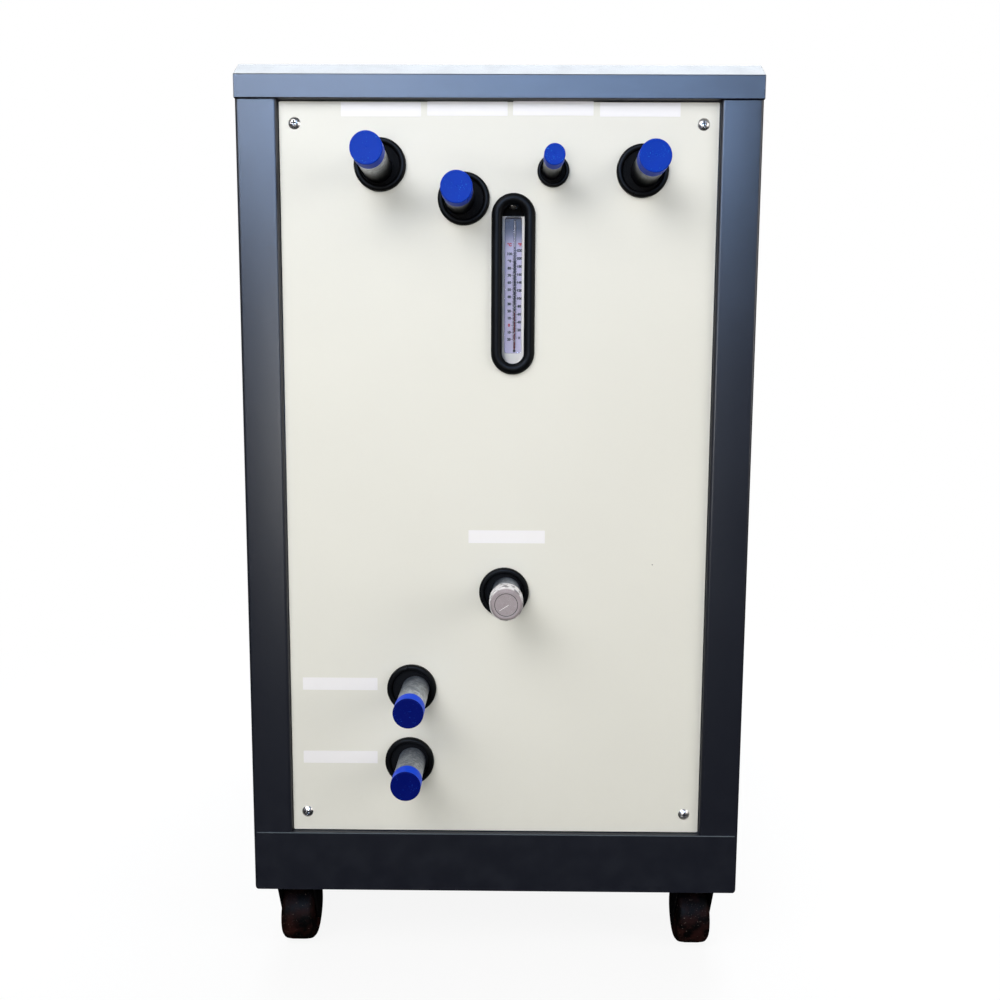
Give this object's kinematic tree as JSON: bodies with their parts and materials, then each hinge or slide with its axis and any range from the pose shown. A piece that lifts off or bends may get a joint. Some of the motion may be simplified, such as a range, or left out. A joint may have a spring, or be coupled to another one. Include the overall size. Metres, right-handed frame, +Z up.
{
  "type": "water cooled industrial chiller",
  "caption": "Sheet-metal water chiller cabinet on castors with capped pipe ports, a level gauge, a tank with coil, compressor, shell condenser, pump and a service door.",
  "frame": {"origin": "on the floor under the middle of the whole object's box", "axes": "+X across the pipe panel to the right, +Y from the pipe panel to the service side, +Z up"},
  "size_m": [0.6, 0.9574, 1.091],
  "materials": {
    "frame_paint": "satin",
    "panel_paint": "satin",
    "zinc": "satin",
    "galvanised": "satin",
    "stainless": "satin",
    "rubber": "satin",
    "blue_plastic": "gloss",
    "grey_plastic": "matte",
    "white_plastic": "satin",
    "clear_plastic": "gloss",
    "scale_card": "satin",
    "copper": "satin",
    "brass": "satin",
    "orange_plastic": "satin",
    "black_paint": "satin",
    "pump_paint": "satin",
    "black_plastic": "satin",
    "red_plastic": "gloss",
    "green_plastic": "gloss",
    "lamp_lens": "gloss",
    "needle_paint": "satin",
    "castor_resin": "satin"
  },
  "bodies": {
    "cabinet": {"base_frame": "frame_paint", "corner_posts": "frame_paint", "top_lid": "frame_paint", "pipe_panel": "panel_paint", "left_side_panel": "panel_paint", "right_side_panel": "panel_paint", "control_panel": "panel_paint", "door_hinges": "zinc", "zinc_screws": "zinc", "edge_trims": "rubber", "port_pipes": "galvanised", "pipe_insulation": "rubber", "gauge_housing": "white_plastic", "clear_windows": "clear_plastic", "thermometer": "scale_card", "tank_shelf": "frame_paint", "water_tank": "stainless", "tank_lid": "stainless", "evaporator_coil": "copper", "float_valve": "brass", "compressor": "black_paint", "condenser": "black_paint", "refrigerant_lines": "copper", "pump_casing": "pump_paint", "pump_motor": "pump_paint", "bypass_valve": "brass", "water_pipework": "galvanised", "electrical_box": "zinc", "electrical_parts": "white_plastic", "temperature_controller": "black_plastic", "control_bezels": "zinc", "indicator_lamps": "lamp_lens", "pressure_gauges": "black_plastic", "power_gland": "black_plastic", "castor_plates": "zinc"},
    "door": {"service_door": "panel_paint"},
    "latch": {"door_latch": "black_plastic"},
    "float": {"float_arm": "orange_plastic"},
    "rotor": {"pump_rotor": "brass"},
    "lever": {"bypass_lever": "red_plastic"},
    "switch_knob": {"main_switch_knob": "red_plastic"},
    "start": {"start_button": "green_plastic"},
    "stop": {"stop_button": "red_plastic"},
    "needle_left": {"gauge_needle_left": "needle_paint"},
    "needle_right": {"gauge_needle_right": "needle_paint"},
    "front_left_swivel": {"front_left_fork": "black_paint"},
    "front_left_roller": {"front_left_wheel": "castor_resin"},
    "front_right_swivel": {"front_right_fork": "black_paint"},
    "front_right_roller": {"front_right_wheel": "castor_resin"},
    "rear_left_swivel": {"rear_left_fork": "black_paint"},
    "rear_left_roller": {"rear_left_wheel": "castor_resin"},
    "rear_right_swivel": {"rear_right_fork": "black_paint"},
    "rear_right_roller": {"rear_right_wheel": "castor_resin"},
    "cold_outlet_cap": {"cold_outlet_cap": "blue_plastic"},
    "overflow_cap": {"overflow_cap": "blue_plastic"},
    "makeup_cap": {"makeup_cap": "blue_plastic"},
    "cold_return_cap": {"cold_return_cap": "blue_plastic"},
    "drain_cap": {"drain_cap": "grey_plastic"},
    "cooling_outlet_cap": {"cooling_outlet_cap": "blue_plastic"},
    "cooling_return_cap": {"cooling_return_cap": "blue_plastic"}
  },
  "joints": [
    {"name": "door_hinge", "type": "hinge", "parent": "cabinet", "child": "door", "pos_m": [-0.2515, 0.45905, 0.502], "axis": [0, 0, 1], "range_deg": [0, 110]},
    {"name": "latch_turn", "type": "hinge", "parent": "door", "child": "latch", "pos_m": [0.1996, 0.45375, 0.541], "axis": [0, -1, 0], "range_deg": [0, 90]},
    {"name": "main_switch_turn", "type": "hinge", "parent": "cabinet", "child": "switch_knob", "pos_m": [-0.19152, 0.44725, 0.95052], "axis": [0, -1, 0], "range_deg": [0, 90]},
    {"name": "start_press", "type": "slide", "parent": "cabinet", "child": "start", "axis": [0, -1, 0], "range_m": [0, 0.003], "stiffness_N_per_m": 400},
    {"name": "stop_press", "type": "slide", "parent": "cabinet", "child": "stop", "axis": [0, -1, 0], "range_m": [0, 0.003], "stiffness_N_per_m": 400},
    {"name": "left_needle_turn", "type": "hinge", "parent": "cabinet", "child": "needle_left", "pos_m": [0.1764, 0.44925, 0.95052], "axis": [0, -1, 0], "range_deg": [0, 270]},
    {"name": "right_needle_turn", "type": "hinge", "parent": "cabinet", "child": "needle_right", "pos_m": [0.09576, 0.44925, 0.95052], "axis": [0, -1, 0], "range_deg": [0, 270]},
    {"name": "pump_spin", "type": "hinge", "parent": "cabinet", "child": "rotor", "pos_m": [0.12, -0.15425, 0.184], "axis": [0, 1, 0], "continuous": true},
    {"name": "bypass_turn", "type": "hinge", "parent": "cabinet", "child": "lever", "pos_m": [0, -0.15425, 0.48531], "axis": [0, 1, 0], "range_deg": [0, 90]},
    {"name": "float_swing", "type": "hinge", "parent": "cabinet", "child": "float", "pos_m": [0.0609, -0.30825, 0.9592], "axis": [1, 0, 0], "range_deg": [0, 30]},
    {"name": "front_left_swivel_turn", "type": "hinge", "parent": "cabinet", "child": "front_left_swivel", "pos_m": [-0.256, -0.35325, 0.095], "axis": [0, 0, 1], "continuous": true},
    {"name": "front_right_swivel_turn", "type": "hinge", "parent": "cabinet", "child": "front_right_swivel", "pos_m": [0.256, -0.35325, 0.095], "axis": [0, 0, 1], "continuous": true},
    {"name": "rear_left_swivel_turn", "type": "hinge", "parent": "cabinet", "child": "rear_left_swivel", "pos_m": [-0.256, 0.41075, 0.095], "axis": [0, 0, 1], "continuous": true},
    {"name": "rear_right_swivel_turn", "type": "hinge", "parent": "cabinet", "child": "rear_right_swivel", "pos_m": [0.256, 0.41075, 0.095], "axis": [0, 0, 1], "continuous": true},
    {"name": "front_left_wheel_roll", "type": "hinge", "parent": "front_left_swivel", "child": "front_left_roller", "pos_m": [-0.256, -0.33125, 0.0375], "axis": [1, 0, 0], "continuous": true},
    {"name": "front_right_wheel_roll", "type": "hinge", "parent": "front_right_swivel", "child": "front_right_roller", "pos_m": [0.256, -0.33125, 0.0375], "axis": [1, 0, 0], "continuous": true},
    {"name": "rear_left_wheel_roll", "type": "hinge", "parent": "rear_left_swivel", "child": "rear_left_roller", "pos_m": [-0.256, 0.43275, 0.0375], "axis": [1, 0, 0], "continuous": true},
    {"name": "rear_right_wheel_roll", "type": "hinge", "parent": "rear_right_swivel", "child": "rear_right_roller", "pos_m": [0.256, 0.43275, 0.0375], "axis": [1, 0, 0], "continuous": true},
    {"name": "cold_outlet_cap_pull", "type": "slide", "parent": "cabinet", "child": "cold_outlet_cap", "axis": [0, -1, 0], "range_m": [0, 0.08]},
    {"name": "overflow_cap_pull", "type": "slide", "parent": "cabinet", "child": "overflow_cap", "axis": [0, -1, 0], "range_m": [0, 0.08]},
    {"name": "makeup_cap_pull", "type": "slide", "parent": "cabinet", "child": "makeup_cap", "axis": [0, -1, 0], "range_m": [0, 0.08]},
    {"name": "cold_return_cap_pull", "type": "slide", "parent": "cabinet", "child": "cold_return_cap", "axis": [0, -1, 0], "range_m": [0, 0.08]},
    {"name": "drain_cap_pull", "type": "slide", "parent": "cabinet", "child": "drain_cap", "axis": [0, -1, 0], "range_m": [0, 0.08]},
    {"name": "cooling_outlet_cap_pull", "type": "slide", "parent": "cabinet", "child": "cooling_outlet_cap", "axis": [0, -1, 0], "range_m": [0, 0.08]},
    {"name": "cooling_return_cap_pull", "type": "slide", "parent": "cabinet", "child": "cooling_return_cap", "axis": [0, -1, 0], "range_m": [0, 0.08]}
  ]
}
